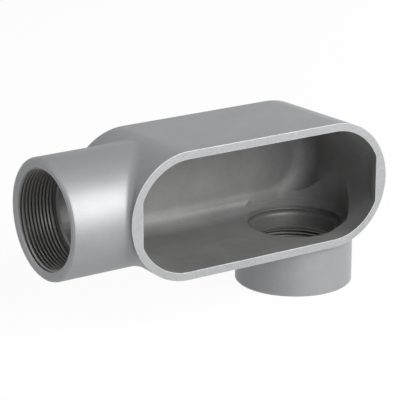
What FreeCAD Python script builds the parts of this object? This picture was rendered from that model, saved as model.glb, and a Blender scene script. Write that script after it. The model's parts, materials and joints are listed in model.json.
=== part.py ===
import FreeCAD, Part

import math
import os

# A cast conduit body of the LL kind, open at its cover face: an obround box with
# one hub out of its left end and one hub out of its underside. It is one casting.
#
# Millimetres. The origin is the centre of the side hub's mouth. +Z runs up that
# hub's axis into the body, the end hub's mouth faces -X and the cover opening -Y.

Vector = FreeCAD.Vector

# The pipe thread that the hubs are cut for, which sets the size of everything round it
THREAD_R = 30.05

# Hubs, outside
HUB_WALL = 5.65
END_HUB_REACH = 34.7
SIDE_HUB_REACH = 30.2
END_HUB_EDGE_R = 2.2
SIDE_HUB_EDGE_R = 0.8
EDGE_FLAT = 0.8
JUNCTION_R = 3.0
END_HUB_TOP_JUNCTION_R = 15.0

# Box, measured at the rim: how far it stands past the hubs at the sides, in front and behind
BODY_LENGTH = 179.0
SIDE_MARGIN = 2.4
FRONT_MARGIN = 3.6
BACK_MARGIN = 0.4
SIDE_HUB_INSET = 0.8
WALL = 4.75
BACK_WALL = 3.7
DRAFT_DEG = 1.05
BACK_EDGE_R = 7.0
CORNER_R = 13.0

# Cover opening: a flat lip across each end, with the full obround behind it
LIP_WIDTH = 7.5
LIP_DEPTH = 3.5

# The box's core was made in two halves. Their seam lies below the end hub's axis, and
# the lower half sits a little further right.
CORE_SEAM_DROP = 5.5
CORE_SHIFT = 0.5

# Hubs, inside, in order from the mouth. The bushing ends level with the box's inner wall. The
# side hub's core is the wider one and is flat where it passes the back wall. The end hub's
# lies wholly within the box's cavity.
COUNTERSINK = 2.55
THREAD_START = 1.2
THREAD_LENGTH = 19.0
RUNOUT_STEP = 1.85
RUNOUT_LENGTH = 1.1
LAND_LENGTH = 2.2
BUSHING_LEDGE = 5.75
BUSHING_NOSE = 1.2
BUSHING_LIP_R = 3.0
COLLAR_MARGIN = 4.3
COLLAR_HEIGHT = 2.0
CORE_STEP = 1.0
SIDE_CORE_WALL = 2.5
SIDE_CORE_BACK_WALL = 3.9
END_CORE_WALL = 3.9

# How far a cutting tool runs past the face that it opens, and how near counts as touching
PAST = 1.0
TOUCH = 0.001

HUB_R = THREAD_R + HUB_WALL
RIM_R = HUB_R + SIDE_MARGIN
RIM_Y = -(HUB_R + FRONT_MARGIN)
BACK_Y = HUB_R + BACK_MARGIN
AXIS_Z = SIDE_HUB_REACH + RIM_R
RIGHT_X = SIDE_HUB_INSET
LEFT_X = RIGHT_X - (BODY_LENGTH - 2 * RIM_R)
MOUTH_X = LEFT_X - RIM_R - END_HUB_REACH
SLOPE = math.tan(math.radians(DRAFT_DEG))


def half_profile(rim_r, y0, y1, corner_r):
    """Half of an obround bar's section, as a face on the plane of r = X and depth = Y.

    The wall leans in with the draft from rim_r at the rim, and meets the back in a corner_r round."""
    r0 = rim_r - SLOPE * (y0 - RIM_Y)
    r1 = rim_r - SLOPE * (y1 - RIM_Y)
    draft = math.radians(DRAFT_DEG)
    tangent = corner_r * math.tan((math.pi / 2 - draft) / 2)
    on_wall = Vector(r1 + tangent * math.sin(draft), y1 - tangent * math.cos(draft), 0)
    on_back = Vector(r1 - tangent, y1, 0)
    half = (math.pi / 2 + draft) / 2
    on_arc = Vector(on_back.x + corner_r * math.sin(half - draft),
                    y1 - corner_r + corner_r * math.cos(half - draft), 0)
    corners = [Vector(0, y1, 0), Vector(0, y0, 0), Vector(r0, y0, 0), on_wall]
    edges = [Part.makeLine(a, b) for a, b in zip(corners, corners[1:])]
    edges += [Part.Arc(on_wall, on_arc, on_back).toShape(), Part.makeLine(on_back, corners[0])]
    return Part.Face(Part.Wire(edges))


def obround(rim_r, y0, y1, corner_r):
    """An obround bar from y0 back to y1: its half profile swept along X and turned at both ends."""
    profile = half_profile(rim_r, y0, y1, corner_r)
    upright = profile.rotated(Vector(0, 0, 0), Vector(0, 1, 0), -90)
    right = upright.translated(Vector(RIGHT_X, 0, AXIS_Z))
    left = upright.rotated(Vector(0, 0, 0), Vector(0, 1, 0), 180).translated(
        Vector(LEFT_X, 0, AXIS_Z))
    span = Vector(LEFT_X - RIGHT_X, 0, 0)
    solids = [right.revolve(Vector(RIGHT_X, 0, AXIS_Z), Vector(0, 1, 0), 180),
              left.revolve(Vector(LEFT_X, 0, AXIS_Z), Vector(0, 1, 0), 180),
              right.extrude(span), left.extrude(span.negative())]
    return solids[0].fuse(solids[1:]).removeSplitter()


def spline_arc(arc):
    """The same circular arc as an exact spline, which turns a lighter face than the arc does."""
    return arc.toNurbs().Edges[0]


def quarter(centre, radius, start_deg, end_deg):
    """An arc about centre, given as (radius from the hub's axis, depth from its mouth)."""
    def at(deg):
        a = math.radians(deg)
        return Vector(centre[0] + radius * math.cos(a), 0, centre[1] + radius * math.sin(a))
    return Part.Arc(at(start_deg), at((start_deg + end_deg) / 2), at(end_deg)).toShape()


def turned(pieces):
    """Revolve a profile about Z. It is a list of points (r, depth) and arcs in order."""
    edges = []
    last = None
    for piece in pieces + pieces[:1]:
        is_arc = isinstance(piece, Part.Shape)
        start = piece.Vertexes[0].Point if is_arc else Vector(piece[0], 0, piece[1])
        if last is not None and last.distanceToPoint(start) > TOUCH:
            edges.append(Part.makeLine(last, start))
        if is_arc:
            edges.append(piece)
            start = piece.Vertexes[-1].Point
        last = start
    face = Part.Face(Part.Wire(edges))
    return face.revolve(Vector(0, 0, 0), Vector(0, 0, 1), 360)


def hub_barrel(length, edge_r):
    """The outside of a hub, from its mouth up into the box, its outer edge eased in narrow flats."""
    flats = round(edge_r / EDGE_FLAT)
    turns = [math.pi / 2 * i / flats for i in range(flats + 1)]
    edge = [(HUB_R - edge_r * (1 - math.sin(a)), edge_r * (1 - math.cos(a))) for a in turns]
    return turned([(0, 0)] + edge + [(HUB_R, length), (0, length)])


def hub_core(reach, core_wall, length):
    """All that is open inside a hub that stands out from the box by reach: mouth, thread, the land
    that it runs out to, bushing with its lip, and the round core behind, to length from the mouth."""
    thread_end = THREAD_START + THREAD_LENGTH
    land = thread_end + RUNOUT_LENGTH
    land_r = THREAD_R - RUNOUT_STEP
    bushing = land + LAND_LENGTH
    bushing_r = THREAD_R - BUSHING_LEDGE
    face = reach + WALL
    lip_centre = (bushing_r + BUSHING_LIP_R, face - BUSHING_LIP_R)
    collar = face + COLLAR_HEIGHT
    collar_r = bushing_r + COLLAR_MARGIN
    step_r = collar_r + CORE_STEP
    core_r = HUB_R - core_wall
    return turned([
        (0, -PAST), (THREAD_R + COUNTERSINK, -PAST), (THREAD_R + COUNTERSINK, 0),
        (THREAD_R, THREAD_START), (THREAD_R, thread_end), (land_r, land), (land_r, bushing),
        (bushing_r + BUSHING_NOSE, bushing), (bushing_r, bushing + BUSHING_NOSE),
        spline_arc(quarter(lip_centre, BUSHING_LIP_R, 180, 90)),
        (collar_r, face), (collar_r, collar), (step_r, collar),
        (core_r, collar + core_r - step_r), (core_r, length), (0, length)])


def at_end(shape):
    """Turn a hub shape made about Z to the end hub's place, pointing along +X."""
    return shape.rotated(Vector(0, 0, 0), Vector(0, 1, 0), 90).translated(
        Vector(MOUTH_X, 0, AXIS_Z))


def quarters(shape):
    """A shape about Z cut in four along X and Y, so that the curve where it meets a box is too."""
    centre, up = Vector(0, 0, 0), Vector(0, 0, 1)
    block = Part.makeBox(BODY_LENGTH, BODY_LENGTH, BODY_LENGTH)
    return [shape.common(block.rotated(centre, up, turn)) for turn in (0, 90, 180, 270)]


def junction(solid, mouth, inward):
    """The edges where a barrel meets the box, given its mouth's centre and the way in."""
    def on_barrel(edge):
        middle = edge.valueAt((edge.FirstParameter + edge.LastParameter) / 2)
        return (abs(middle.distanceToLine(mouth, inward) - HUB_R) < TOUCH
                and middle.distanceToPlane(mouth, inward) > END_HUB_EDGE_R + PAST)
    return [e for e in solid.Edges if on_barrel(e) and not isinstance(e.Curve, Part.Line)]


def outside():
    """The box and both barrels, blended where they meet.

    The end hub's blend is small at the rim, where there is little room, and grows to its top
    and underside."""
    solid = obround(RIM_R, RIM_Y, BACK_Y, BACK_EDGE_R)
    end_hub = hub_barrel(LEFT_X - MOUTH_X, END_HUB_EDGE_R)
    solid = solid.fuse([at_end(quarter_hub) for quarter_hub in quarters(end_hub)])
    edges = junction(solid, Vector(MOUTH_X, 0, AXIS_Z), Vector(1, 0, 0))
    from_top = [e for e in edges if abs(e.valueAt(e.FirstParameter).y) < TOUCH]
    solid = solid.makeFillet(END_HUB_TOP_JUNCTION_R, JUNCTION_R, from_top)
    solid = solid.fuse(hub_barrel(AXIS_Z, SIDE_HUB_EDGE_R)).removeSplitter()
    return solid.makeFillet(JUNCTION_R, junction(solid, Vector(0, 0, 0), Vector(0, 0, 1)))


def cavity():
    """The space behind the cover opening, less the lips that make its end flats."""
    space = obround(RIM_R - WALL, RIM_Y - PAST, BACK_Y - BACK_WALL, CORNER_R)
    lower = space.common(Part.makeBox(
        2 * RIM_R, 2 * (BACK_Y - RIM_Y), 2 * RIM_R,
        Vector(RIGHT_X, 2 * RIM_Y, AXIS_Z - CORE_SEAM_DROP - 2 * RIM_R)))
    space = space.fuse(lower.translated(Vector(CORE_SHIFT, 0, 0))).removeSplitter()
    middle_x = (LEFT_X + RIGHT_X) / 2
    for side in (-1, 1):
        flat_x = middle_x + side * (BODY_LENGTH / 2 - LIP_WIDTH)
        lip = Part.makeBox(RIM_R, LIP_DEPTH + 2 * PAST, 2 * RIM_R,
                           Vector(min(flat_x, flat_x + side * RIM_R), RIM_Y - 2 * PAST,
                                  AXIS_Z - RIM_R))
        space = space.cut(lip)
    return space


def hub_cores():
    """What is open inside both hubs, with the side hub's core cut flat along the back wall."""
    back_wall = Part.makeBox(2 * RIM_R, RIM_R, AXIS_Z + 2 * PAST,
                             Vector(-RIM_R, HUB_R - SIDE_CORE_BACK_WALL, -PAST))
    side_core = hub_core(SIDE_HUB_REACH, SIDE_CORE_WALL, AXIS_Z).cut(back_wall)
    return side_core.fuse(at_end(hub_core(END_HUB_REACH, END_CORE_WALL, LEFT_X - MOUTH_X)))


def conduit_body():
    """The whole casting."""
    return outside().cut([cavity(), hub_cores()]).Solids[0]


if __name__ == "__main__":
    os.makedirs("parts", exist_ok=True)
    body = conduit_body()
    print("valid", body.isValid(), "volume", round(body.Volume), "box", body.optimalBoundingBox())
    body.exportStep("parts/conduit_body.step")
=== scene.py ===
# %% [markdown]
# # A cast conduit body
#
# The object is one aluminium casting: an obround box with a threaded hub out of its left end
# and another out of its underside. What is left is what a caster, a painter and a tapping
# machine add: soft edges, a slightly grainy paint, and the turns of the two pipe threads.
#
# All sizes are in metres. The origin is the centre of the lower hub's mouth, +Z runs up that
# hub's axis, the end hub's mouth faces -X and the open face looks along -Y.

# %% Load the frame
import json
import math

import bmesh
import bpy
from mathutils import Matrix, Vector


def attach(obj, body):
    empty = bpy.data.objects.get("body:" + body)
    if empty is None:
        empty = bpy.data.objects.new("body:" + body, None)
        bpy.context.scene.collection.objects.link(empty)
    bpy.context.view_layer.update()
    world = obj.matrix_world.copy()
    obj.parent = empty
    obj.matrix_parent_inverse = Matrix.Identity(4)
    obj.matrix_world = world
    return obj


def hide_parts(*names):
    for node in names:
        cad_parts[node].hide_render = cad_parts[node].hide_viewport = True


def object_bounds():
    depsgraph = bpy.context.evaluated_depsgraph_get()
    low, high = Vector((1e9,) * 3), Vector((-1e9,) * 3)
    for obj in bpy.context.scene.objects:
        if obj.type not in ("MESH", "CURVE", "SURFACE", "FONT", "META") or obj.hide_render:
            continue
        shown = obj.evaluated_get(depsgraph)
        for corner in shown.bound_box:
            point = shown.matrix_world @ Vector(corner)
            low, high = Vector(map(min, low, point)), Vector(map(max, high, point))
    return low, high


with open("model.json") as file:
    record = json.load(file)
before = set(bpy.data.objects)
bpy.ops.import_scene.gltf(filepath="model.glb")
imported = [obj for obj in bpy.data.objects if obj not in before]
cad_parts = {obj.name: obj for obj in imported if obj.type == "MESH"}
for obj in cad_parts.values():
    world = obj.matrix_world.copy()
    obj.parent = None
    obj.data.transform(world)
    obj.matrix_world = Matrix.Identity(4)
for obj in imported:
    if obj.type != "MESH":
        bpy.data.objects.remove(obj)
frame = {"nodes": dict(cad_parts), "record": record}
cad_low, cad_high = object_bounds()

MM = 0.001
centre = (cad_low + cad_high) / 2
print("the casting's box in mm:", [round(v / MM, 1) for v in cad_high - cad_low])

# %% [markdown]
# ## Small helpers
#
# Node trees are easier to read when each node is one line. `add_node` makes a node, sets its
# own properties and fills its sockets by name. A value that is a socket itself is linked, and
# any other value is written on the input. `new_object` saves a line for each thing that the
# scene needs.

# %% Helpers for objects and node trees
def new_object(name, data):
    """An object at the origin of the scene that shows this mesh, lamp or camera."""
    thing = bpy.data.objects.new(name, data)
    bpy.context.scene.collection.objects.link(thing)
    return thing


def plug(tree, socket, value):
    """Link value to the socket if it is a socket itself, and otherwise set it there."""
    if isinstance(value, bpy.types.NodeSocket):
        tree.links.new(value, socket)
    else:
        socket.default_value = value


def add_node(tree, kind, settings=None, **inputs):
    """Add a node. settings are its own properties. inputs are its sockets' names, with _ for
    a space."""
    node = tree.nodes.new(kind)
    for name, value in (settings or {}).items():
        setattr(node, name, value)
    for name, value in inputs.items():
        plug(tree, node.inputs[name.replace("_", " ")], value)
    return node


def math_node(tree, operation, *values):
    """One step of arithmetic, as a socket."""
    node = tree.nodes.new("ShaderNodeMath")
    node.operation = operation
    for socket, value in zip(node.inputs, values):
        plug(tree, socket, value)
    return node.outputs[0]


# %% [markdown]
# ## Edges and cast skin
#
# A casting has no knife edges, but the solid's small edges are crisp. A Bevel modifier would
# round them with real faces, and it folds over where a long fillet runs into an edge. So a
# Bevel node rounds only the light there, which costs no faces. A second one finds the edges:
# where its rounded normal turns away from the plain one, the paint is made lighter. That is
# partly wear, where handling has rubbed the paint thin, and partly a painted highlight.
# The cast skin is then a bump on top of the rounded light.

# %% Rounded edges, worn and with a painted highlight
EDGE_ROUND = 0.5 * MM
# How wide the lighter edges are, which stand for wear and a painted highlight.
WEAR_AND_HIGHLIGHT_WIDTH = 0.7 * MM
BEVEL_SAMPLES = 6
# How alike the two normals are where wear and painted highlight start, and where they are
# full. 1 means the same.
WEAR_AND_HIGHLIGHT_FROM = 0.995
WEAR_AND_HIGHLIGHT_FULLY = 0.90


def rounded_normal(tree, radius):
    """The surface's normal, as if each crisp edge had this radius."""
    bevel = add_node(tree, "ShaderNodeBevel", {"samples": BEVEL_SAMPLES}, Radius=radius)
    return bevel.outputs["Normal"]


def worn_and_highlit_edge(tree):
    """0 on a plain surface and up to 1 on a crisp edge, for wear and a painted highlight."""
    alike = add_node(tree, "ShaderNodeVectorMath", {"operation": "DOT_PRODUCT"})
    plug(tree, alike.inputs[0], rounded_normal(tree, WEAR_AND_HIGHLIGHT_WIDTH))
    plug(tree, alike.inputs[1], add_node(tree, "ShaderNodeNewGeometry").outputs["Normal"])
    worn_and_highlit = add_node(tree, "ShaderNodeMapRange", Value=alike.outputs["Value"],
                    From_Min=WEAR_AND_HIGHLIGHT_FROM, From_Max=WEAR_AND_HIGHLIGHT_FULLY)
    return worn_and_highlit.outputs["Result"]


def surface_bump(tree, height):
    """A normal bent by a height in millimetres, over edges that are a little rounded."""
    bump = add_node(tree, "ShaderNodeBump", Height=height, Distance=MM, Strength=1.0,
                    Normal=rounded_normal(tree, EDGE_ROUND))
    return bump.outputs["Normal"]


# %% [markdown]
# ## The paint
#
# Bodies like this are sprayed with an aluminium-coloured paint over a cast skin. The paint is
# neither a plain grey nor a bare metal: flakes in it reflect, but softly. So the shader is
# half metallic with a wide gloss. The skin under it is uneven in three sizes: a fine grain
# from the sand, slow waves from the pattern, and patches where the paint lies thicker. The
# grain and the waves go to the bump, and the grain and the patches to the tone. Object
# coordinates fix all of them to the part.

# %% What the paint is made of
GRAIN_NOISE = {"Scale": 900.0, "Detail": 3.0, "Roughness": 0.6}
WAVE_NOISE = {"Scale": 110.0, "Detail": 2.0, "Roughness": 0.5}
PATCH_NOISE = {"Scale": 45.0, "Detail": 4.0, "Roughness": 0.55}
TONE_RANGE = (0.3, 0.7)
GLOSS_SPREAD = 0.05
# A Mix node has sockets for each kind of value, and these are the places of its colours.
COLOUR_A, COLOUR_B, COLOUR_OUT = 6, 7, 2


def toned(colour, factor):
    """The colour times a factor, with its alpha at 1."""
    return [c * factor for c in colour] + [1]


def mixed_colour(tree, share, colour, other):
    """A colour, with this share of the other one."""
    mix = add_node(tree, "ShaderNodeMix", {"data_type": "RGBA"}, Factor=share)
    plug(tree, mix.inputs[COLOUR_A], colour)
    plug(tree, mix.inputs[COLOUR_B], other)
    return mix.outputs[COLOUR_OUT]


# %% Paint over the cast skin
def make_paint(name, colour, mottle, speckle, worn_and_highlit, metallic, roughness, grain, waves):
    """An aluminium paint. Its tone varies by mottle, of which the share speckle is as fine as
    the grain. On crisp edges it is lighter by the factor after speckle, partly for wear and
    partly as a painted highlight. grain and waves are the heights of the unevenness, in
    metres."""
    material = bpy.data.materials.new(name)
    material.use_nodes = True
    tree = material.node_tree
    shader = tree.nodes["Principled BSDF"]
    place = add_node(tree, "ShaderNodeTexCoord").outputs["Object"]
    fine, slow, patch = (
        add_node(tree, "ShaderNodeTexNoise", Vector=place, **kind).outputs["Fac"]
        for kind in (GRAIN_NOISE, WAVE_NOISE, PATCH_NOISE))

    uneven = math_node(tree, "ADD", math_node(tree, "MULTIPLY", fine, speckle),
                       math_node(tree, "MULTIPLY", patch, 1.0 - speckle))
    tone = add_node(tree, "ShaderNodeValToRGB", Fac=uneven)
    factors = (1 - mottle, 1 + mottle)
    for stop, position, factor in zip(tone.color_ramp.elements, TONE_RANGE, factors):
        stop.position = position
        stop.color = toned(colour, factor)
    # Crisp edges are made lighter: partly wear, partly a painted highlight.
    plug(tree, shader.inputs["Base Color"],
         mixed_colour(tree, worn_and_highlit_edge(tree), tone.outputs["Color"], toned(colour, worn_and_highlit)))

    gloss = add_node(tree, "ShaderNodeMapRange", Value=fine, To_Min=roughness - GLOSS_SPREAD,
                     To_Max=roughness + GLOSS_SPREAD)
    plug(tree, shader.inputs["Roughness"], gloss.outputs["Result"])
    plug(tree, shader.inputs["Metallic"], metallic)
    height = math_node(tree, "ADD", math_node(tree, "MULTIPLY", fine, grain / MM),
                       math_node(tree, "MULTIPLY", slow, waves / MM))
    plug(tree, shader.inputs["Normal"], surface_bump(tree, height))
    return material


paint = make_paint("aluminium_paint", (0.245, 0.25, 0.255), mottle=0.08, speckle=0.4, worn_and_highlit=1.9,
                   metallic=0.5, roughness=0.50, grain=0.06 * MM, waves=0.12 * MM)
print(paint.name, "has", len(paint.node_tree.nodes), "nodes")

# %% [markdown]
# Inside the box the paint is rougher, over the skin that the cores left, with a trace of
# brown.
# Its darker tone there is painted shade for the hollow. The rim is rubbed flat to take a
# gasket and has the coarsest grain, and its paler tone is painted light where it faces the
# front lamps.
# The bore of each hub is the darkest, which is painted shade for the little light that reaches
# it, and the turns of its thread are cut metal. One recipe serves all of them.

# %% Four more materials by the same recipe
# Darker inside the box: painted shade. The roughness and the trace of brown are the skin's
# own.
rough_inside_with_painted_shade = make_paint("rough_inside_with_painted_shade", (0.178, 0.177, 0.175), mottle=0.20, speckle=0.3,
                         worn_and_highlit=1.2, metallic=0.4, roughness=0.60, grain=0.12 * MM,
                         waves=0.30 * MM)
# Paler on the rim: painted light, where it faces the front lamps. Its coarse grain is its own.
rubbed_rim_with_painted_light = make_paint("rubbed_rim_with_painted_light", (0.285, 0.29, 0.293), mottle=0.13, speckle=0.7, worn_and_highlit=1.7,
                        metallic=0.5, roughness=0.50, grain=0.16 * MM, waves=0.05 * MM)
# Darkest in the hubs' bores: painted shade, for the little light that reaches them.
bore_with_painted_shade = make_paint("bore_with_painted_shade", (0.12, 0.12, 0.118), mottle=0.30, speckle=0.3, worn_and_highlit=1.5,
                      metallic=0.4, roughness=0.50, grain=0.12 * MM, waves=0.40 * MM)
tapped = make_paint("tapped_metal", (0.15, 0.148, 0.143), mottle=0.10, speckle=0.5, worn_and_highlit=1.6,
                    metallic=0.6, roughness=0.42, grain=0.02 * MM, waves=0.0)
casting_materials = [paint, rough_inside_with_painted_shade, rubbed_rim_with_painted_light, bore_with_painted_shade]
print("finishes:", [material.name for material in casting_materials + [tapped]])

# %% [markdown]
# ## The casting
#
# The frame's own mesh is exact but made of loose triangles, so light breaks on each of them.
# A copy is welded, and the edges that a foundry leaves crisp are marked sharp by their angle.
# Everything flatter than that is shaded as one smooth skin.

# %% The casting, welded and smooth
WELD = 0.001 * MM
CRISP = math.radians(28.0)


def welded_copy(node, name):
    """A merged copy of a frame node's mesh, smooth except across its crisp edges."""
    mesh = bpy.data.meshes.new(name)
    work = bmesh.new()
    work.from_mesh(frame["nodes"][node].data)
    bmesh.ops.remove_doubles(work, verts=work.verts, dist=WELD)
    open_edges = sum(1 for edge in work.edges if len(edge.link_faces) != 2)
    for face in work.faces:
        face.smooth = True
    for edge in work.edges:
        edge.smooth = len(edge.link_faces) == 2 and edge.calc_face_angle() < CRISP
    work.to_mesh(mesh)
    work.free()
    print(name, "faces", len(mesh.polygons), "open edges", open_edges)
    return new_object(name, mesh)


casting = welded_copy("conduit_body", "casting")

# %% [markdown]
# The materials go on face by face. A face is in a bore when all of it lies within a thread's
# radius of a hub's axis, and inside when it looks back at the line through the middle of the
# box or of a hub. The mounts in the record give those lines, so nothing is picked by hand.

# %% Lines through the middle of the hubs and the box
mounts = {mount["name"]: mount for mount in frame["record"]["mounts"]}
side_mouth = Vector(mounts["side_hub"]["pos_m"])
end_mouth = Vector(mounts["end_hub"]["pos_m"])
crossing = Vector((side_mouth.x, side_mouth.y, end_mouth.z))
box_start = crossing.copy()
box_start.x = 2 * mounts["cover_face"]["pos_m"][0] - crossing.x
HUB_LINES = [(side_mouth, crossing), (end_mouth, crossing)]
MIDDLE_LINES = HUB_LINES + [(box_start, crossing)]


def from_line(point, start, end):
    """The way from the nearest point of a line's span to the point."""
    along = end - start
    share = max(0.0, min(1.0, (point - start).dot(along) / along.length_squared))
    return point - (start + along * share)


print("the lines in mm:", [round((end - start).length / MM, 1) for start, end in MIDDLE_LINES])

# %% Which material goes where
BORE_RADIUS = mounts["side_hub"]["dims"]["r_mm"] * MM + 0.1 * MM
LOOKS_BACK = -0.5
NEAR_RIM = 0.05 * MM
OUTSIDE, INSIDE, RIM, BORE = range(len(casting_materials))


def material_of(corners, middle, normal):
    """The number of a face's material, in the order of casting_materials."""
    if middle.y < cad_low.y + NEAR_RIM:
        return RIM
    for line in HUB_LINES:
        if max(from_line(corner, *line).length for corner in corners) < BORE_RADIUS:
            return BORE
    ways = [from_line(middle, *line) for line in MIDDLE_LINES]
    looks_back = min(way.normalized().dot(normal) for way in ways) < LOOKS_BACK
    return INSIDE if looks_back else OUTSIDE


casting.data.materials.clear()
for material in casting_materials:
    casting.data.materials.append(material)
places = [vertex.co for vertex in casting.data.vertices]
for face in casting.data.polygons:
    corners = [places[i] for i in face.vertices]
    face.material_index = material_of(corners, face.center, face.normal)
used = [face.material_index for face in casting.data.polygons]
for i, material in enumerate(casting_materials):
    print(material.name, "is on", used.count(i), "faces")
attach(casting, "root")
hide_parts("conduit_body")

# %% [markdown]
# ## The pipe threads
#
# Both hubs are tapped with a tapering pipe thread. A thread is one ridge of steady section
# that winds round the bore, so its shape is a rule and not a set of faces. It could be cut
# from the casting with a boolean, which is slow and leaves slivers. A Geometry Nodes tree is
# plainer: a spiral curve carries a four-cornered section, and the tree then moves the points
# in for the taper and out of the countersink. The ridge grows from next to nothing in the
# countersink and ends inside the land behind the runout, so it has no loose ends.

# %% The thread's sizes
TURNS_PER_INCH = 11.5
PITCH = 25.4 / TURNS_PER_INCH * MM
THREAD_SIZES = {
    "Pitch": PITCH,
    "Crest Height": 1.15 * MM,    # from the wall to the crest, before the taper
    "Crest Flat": 0.90 * MM,
    "Taper": 1 / 32,              # on the radius
    "Embed": 0.05 * MM,           # how far the ridge's foot is sunk in the wall
    "Chamfer Radius": 32.6 * MM,  # the countersink's, at the mouth
    "Chamfer Depth": 1.2 * MM,
    "Start Turns": 0.35,          # in which the ridge grows to its full section
}
HUB_SIZES = ("Wall Radius", "Length")
START_SIZE = 0.05
TURN_STEPS = 96
print("pitch in mm:", round(PITCH / MM, 3), "with", len(THREAD_SIZES), "sizes for both hubs")

# %% [markdown]
# Two corners of the section are sunk a little in the bore's wall, and the other two make the
# flat crest. The spiral is reversed, which makes the thread right-handed, and that turns the
# section's x towards the wall.

# %% A tree that makes one thread
def thread_section(tree, size):
    """The ridge's section. Its x is out towards the wall and its y along the axis."""
    half_pitch = math_node(tree, "DIVIDE", size["Pitch"], 2.0)
    half_crest = math_node(tree, "DIVIDE", size["Crest Flat"], 2.0)
    crest = math_node(tree, "MULTIPLY", size["Crest Height"], -1.0)
    corners = [(size["Embed"], half_pitch), (crest, half_crest),
               (crest, math_node(tree, "MULTIPLY", half_crest, -1.0)),
               (size["Embed"], math_node(tree, "MULTIPLY", half_pitch, -1.0))]
    section = add_node(tree, "GeometryNodeCurvePrimitiveQuadrilateral", {"mode": "POINTS"})
    for i, (x, y) in enumerate(corners, start=1):
        point = add_node(tree, "ShaderNodeCombineXYZ", X=x, Y=y)
        plug(tree, section.inputs[f"Point {i}"], point.outputs[0])
    return section.outputs["Curve"]


def thread_tree(material):
    """The nodes for a right-hand thread in a bore that runs up from z = 0, with its
    countersink below."""
    tree = bpy.data.node_groups.new("pipe_thread", "GeometryNodeTree")
    for name in (*THREAD_SIZES, *HUB_SIZES):
        tree.interface.new_socket(name, in_out="INPUT", socket_type="NodeSocketFloat")
    tree.interface.new_socket("Geometry", in_out="OUTPUT", socket_type="NodeSocketGeometry")
    size = add_node(tree, "NodeGroupInput").outputs
    turns = math_node(tree, "DIVIDE", size["Length"], size["Pitch"])
    spiral = add_node(tree, "GeometryNodeCurveSpiral", Resolution=TURN_STEPS, Rotations=turns,
                      Start_Radius=size["Wall Radius"], End_Radius=size["Wall Radius"],
                      Height=size["Length"], Reverse=True)
    upright = add_node(tree, "GeometryNodeSetCurveNormal", {"mode": "Z_UP"},
                       Curve=spiral.outputs["Curve"])
    done = add_node(tree, "GeometryNodeSplineParameter").outputs["Factor"]
    turned = math_node(tree, "MULTIPLY", turns, done)
    grown = math_node(tree, "DIVIDE", turned, size["Start Turns"])
    full = math_node(tree, "MINIMUM", math_node(tree, "MAXIMUM", grown, START_SIZE), 1.0)
    swept = add_node(tree, "GeometryNodeCurveToMesh", Curve=upright.outputs["Curve"],
                     Profile_Curve=thread_section(tree, size), Scale=full, Fill_Caps=True)
    kept = keep_in_bore(tree, swept.outputs["Mesh"], size)
    flat = add_node(tree, "GeometryNodeSetShadeSmooth", Geometry=kept, Shade_Smooth=False)
    joined = add_node(tree, "GeometryNodeRealizeInstances", Geometry=flat.outputs["Geometry"])
    made = add_node(tree, "GeometryNodeSetMaterial", Geometry=joined.outputs["Geometry"],
                    Material=material)
    add_node(tree, "NodeGroupOutput", Geometry=made.outputs["Geometry"])
    return tree


# %% [markdown]
# The last shaping step works on each point by itself. A point is described by its distance
# from the axis and its depth. Points of the crest move in with the taper. Then every point is
# put at least as far out as the countersink's cone is at that depth, so none stands out of it.

# %% Taper and countersink, point by point
def keep_in_bore(tree, mesh, size):
    """Lean the crest in with the taper, and push what stands out of the countersink back."""
    position = add_node(tree, "GeometryNodeInputPosition").outputs[0]
    place = add_node(tree, "ShaderNodeSeparateXYZ", Vector=position).outputs
    squares = [math_node(tree, "MULTIPLY", place[axis], place[axis]) for axis in ("X", "Y")]
    across = math_node(tree, "SQRT", math_node(tree, "ADD", *squares))
    is_crest = math_node(tree, "LESS_THAN", across, size["Wall Radius"])
    taper = math_node(tree, "MULTIPLY", place["Z"], size["Taper"])
    leaned = math_node(tree, "SUBTRACT", across, math_node(tree, "MULTIPLY", taper, is_crest))
    width = math_node(tree, "SUBTRACT", size["Chamfer Radius"], size["Wall Radius"])
    slope = math_node(tree, "DIVIDE", width, size["Chamfer Depth"])
    skin = math_node(tree, "ADD", size["Wall Radius"], size["Embed"])
    cone = math_node(tree, "SUBTRACT", skin, math_node(tree, "MULTIPLY", slope, place["Z"]))
    scale = math_node(tree, "DIVIDE", math_node(tree, "MAXIMUM", leaned, cone), across)
    moved = add_node(tree, "ShaderNodeCombineXYZ", Z=place["Z"],
                     X=math_node(tree, "MULTIPLY", place["X"], scale),
                     Y=math_node(tree, "MULTIPLY", place["Y"], scale))
    kept = add_node(tree, "GeometryNodeSetPosition", Geometry=mesh, Position=moved.outputs[0])
    return kept.outputs["Geometry"]


# %% [markdown]
# The record names each hub's thread as a mount, with its place, the way it faces, its radius
# and its length. The tree is run once for each, baked to a plain mesh and turned to its hub.
# The ridge runs on past the thread's length, through the runout and into the land.

# %% One thread for each hub
RUN_PAST = 2.1 * MM
UP = Vector((0, 0, 1))


def bake(piece):
    """Swap a piece's modifiers for the mesh that they make."""
    shaped = piece.evaluated_get(bpy.context.evaluated_depsgraph_get())
    mesh = bpy.data.meshes.new_from_object(shaped)
    piece.modifiers.clear()
    piece.data = mesh


def tapped_thread(name, mount, tree):
    """The thread of one mount, as a mesh in its place."""
    piece = new_object(name, bpy.data.meshes.new(name))
    modifier = piece.modifiers.new("thread", "NODES")
    modifier.node_group = tree
    length = mount["dims"]["length_mm"] * MM + RUN_PAST
    sizes = THREAD_SIZES | {"Wall Radius": mount["dims"]["r_mm"] * MM, "Length": length}
    for item in tree.interface.items_tree:
        if item.in_out == "INPUT":
            modifier[item.identifier] = sizes[item.name]
    bake(piece)
    inward = -Vector(mount["axis"])
    turn = UP.rotation_difference(inward).to_matrix().to_4x4()
    piece.data.transform(Matrix.Translation(Vector(mount["pos_m"])) @ turn)
    print(name, "turns", round(length / PITCH, 2), "faces", len(piece.data.polygons))
    return piece


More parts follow.
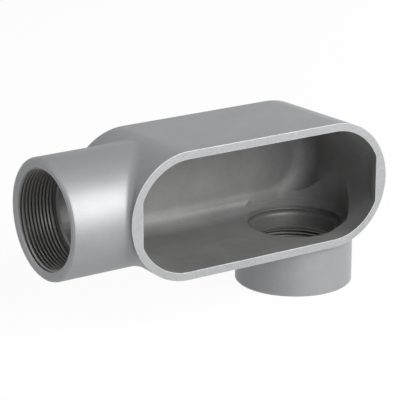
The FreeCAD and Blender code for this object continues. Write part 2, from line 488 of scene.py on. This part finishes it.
pipe_thread = thread_tree(tapped)
for hub in ("side_hub", "end_hub"):
    thread = tapped_thread(hub + "_thread", mounts[hub], pipe_thread)
    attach(thread, "root")

# %% [markdown]
# ## Floor, light and camera
#
# The floor and the world look white to the camera and in reflections, but send little light
# to the object, so that the paint keeps its own grey. The floor lies a hair below the lower
# hub's flat mouth, because two faces in one plane would flicker.

# %% What shows the background
WHITE = (1, 1, 1, 1)


def seen_directly(tree):
    """1 for a ray that shows the background: the camera's own, or one by a reflection or
    through glass."""
    rays = add_node(tree, "ShaderNodeLightPath").outputs
    seen = math_node(tree, "MAXIMUM", rays["Is Camera Ray"], rays["Is Glossy Ray"])
    return math_node(tree, "MAXIMUM", seen, rays["Is Transmission Ray"])


def lit_as_background(tree, shader_output, whiteness):
    """Mix a shader with plain white for what the camera or a reflection sees."""
    share = math_node(tree, "MULTIPLY", seen_directly(tree), whiteness)
    white = add_node(tree, "ShaderNodeEmission", Color=WHITE, Strength=1.0)
    mix = add_node(tree, "ShaderNodeMixShader", Fac=share)
    plug(tree, mix.inputs[1], shader_output)
    plug(tree, mix.inputs[2], white.outputs[0])
    return mix.outputs[0]


# %% Floor
FLOOR_HALF = 3.0
FLOOR_GAP = 0.2 * MM
FLOOR_COLOUR = (0.9, 0.9, 0.9, 1)
FLOOR_ROUGHNESS = 0.9
FLOOR_WHITENESS = 0.95

level = cad_low.z - FLOOR_GAP
floor_corners = [(x * FLOOR_HALF, y * FLOOR_HALF, level)
                 for x, y in ((-1, -1), (1, -1), (1, 1), (-1, 1))]
floor_mesh = bpy.data.meshes.new("floor")
floor_mesh.from_pydata(floor_corners, [], [(0, 1, 2, 3)])
floor = new_object("floor", floor_mesh)

pale_floor = bpy.data.materials.new("pale_floor")
pale_floor.use_nodes = True
floor_tree = pale_floor.node_tree
floor_shader = floor_tree.nodes["Principled BSDF"]
plug(floor_tree, floor_shader.inputs["Base Color"], FLOOR_COLOUR)
plug(floor_tree, floor_shader.inputs["Roughness"], FLOOR_ROUGHNESS)
plug(floor_tree, floor_tree.nodes["Material Output"].inputs["Surface"],
     lit_as_background(floor_tree, floor_shader.outputs[0], FLOOR_WHITENESS))
floor.data.materials.append(pale_floor)
print("floor at z in mm:", round(level / MM, 2))

# %% World
WORLD_FILL = 0.03

world = bpy.data.worlds.new("studio")
bpy.context.scene.world = world
world.use_nodes = True
world_tree = world.node_tree
background = world_tree.nodes["Background"]
strength = add_node(world_tree, "ShaderNodeMapRange", Value=seen_directly(world_tree),
                    To_Min=WORLD_FILL, To_Max=1.0)
plug(world_tree, background.inputs["Strength"], strength.outputs["Result"])
plug(world_tree, background.inputs["Color"], WHITE)
print("the world lights the casting with a strength of", WORLD_FILL)

# %% [markdown]
# The lamps stand round the part like softboxes round a table in a studio. A single lamp would
# leave a hard line on the hub's barrel, and a fully white room would wash out the inside. So
# most of the light comes from the front and the front right, at several heights, which draws
# one tall highlight down the barrel. A lamp at each side, the right one stronger, keeps the
# ends from going black.

# %% Lamps
SOFTBOX_SIZE = 0.62
SOFTBOX_DISTANCE = 1.2
# For each lamp: azimuth and elevation in degrees, and watts.
SOFTBOXES = {
    "key": (33, 35, 8.4),
    "key_low": (18, 20, 6.2),
    "key_high": (18, 48, 0.9),
    "front": (0, 35, 5.0),
    "front_low": (0, 8, 4.2),
    "right_side": (105, 8, 9.5),
    "left_side": (-105, 22, 3.4),
}


def look_from(thing, target, azimuth, elevation, distance):
    """Put a lamp or camera off in a direction and turn it to the target. Azimuth 0 is straight
    in front of the open face, and grows to the right."""
    a, e = math.radians(azimuth), math.radians(elevation)
    back = Vector((math.sin(a) * math.cos(e), -math.cos(a) * math.cos(e), math.sin(e)))
    thing.location = target + back * distance
    thing.rotation_euler = back.to_track_quat("Z", "Y").to_euler()


for name, (azimuth, elevation, watts) in SOFTBOXES.items():
    lamp = bpy.data.lights.new(name, "AREA")
    lamp.size = SOFTBOX_SIZE
    lamp.energy = watts
    look_from(new_object(name, lamp), centre, azimuth, elevation, SOFTBOX_DISTANCE)
all_watts = sum(watts for azimuth, elevation, watts in SOFTBOXES.values())
print("lamps:", len(SOFTBOXES), "with", round(all_watts, 1), "watts")

# %% [markdown]
# A long lens from a little over a metre away keeps the perspective gentle. The camera looks
# at a point near the middle of the casting, given from the centre of its box.

# %% Camera
AZIMUTH = -33.70
ELEVATION = 17.57
DISTANCE = 1.2
AIM = centre + Vector((4.8, 9.9, 5.3)) * MM
LENS = 182.2

camera = new_object("camera", bpy.data.cameras.new("camera"))
camera.data.lens = LENS
look_from(camera, AIM, AZIMUTH, ELEVATION, DISTANCE)
bpy.context.scene.camera = camera
bpy.context.scene.view_settings.view_transform = "Standard"
print("camera at", [round(v, 3) for v in camera.location], "with a lens of", LENS, "mm")
